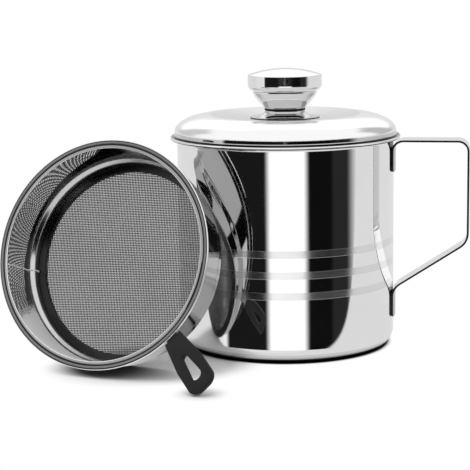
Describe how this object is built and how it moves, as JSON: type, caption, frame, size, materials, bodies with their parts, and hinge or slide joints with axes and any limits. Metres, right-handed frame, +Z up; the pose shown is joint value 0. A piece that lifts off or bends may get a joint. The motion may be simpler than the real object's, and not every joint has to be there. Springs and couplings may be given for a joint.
{
  "type": "bacon grease container",
  "caption": "Lidded steel grease keeper with a strap handle, a turned knob and a drop-in mesh strainer shown leaning on the pot.",
  "frame": {"origin": "centre of the pot's flat base, on the floor", "axes": "+Z up along the pot's axis, -Y towards the viewer of the picture, +X towards the pot's handle"},
  "size_m": [0.2555, 0.1878, 0.1533],
  "materials": {
    "polished_steel": "polished to a mirror",
    "satin_steel": "satin",
    "woven_mesh": "woven wire",
    "fastener_steel": "plain machined",
    "black_rubber": "matte",
    "black_plastic": "satin moulded"
  },
  "bodies": {
    "pot": {"pot_body": "polished_steel", "pot_handle": "polished_steel"},
    "lid": {"lid_shell": "polished_steel", "lid_ring": "satin_steel", "knob_base": "polished_steel", "knob_gasket": "black_rubber", "knob_cone": "polished_steel", "knob_cap": "polished_steel", "knob_boss": "fastener_steel", "knob_washer": "fastener_steel", "knob_screw": "fastener_steel"},
    "strainer": {"strainer_wall": "polished_steel", "mesh_seat": "satin_steel", "strainer_mesh": "woven_mesh", "mesh_clamp": "satin_steel", "grip_tang": "satin_steel", "grip_sleeve": "black_plastic"}
  },
  "joints": [
    {"name": "lid_lift", "type": "slide", "parent": "pot", "child": "lid", "axis": [0, 0, 1], "range_m": [0, 0.12]},
    {"name": "strainer_slide", "type": "slide", "parent": "pot", "child": "strainer", "axis": [-0.8241, -0.5664, 0], "range_m": [0, 0.08]}
  ]
}
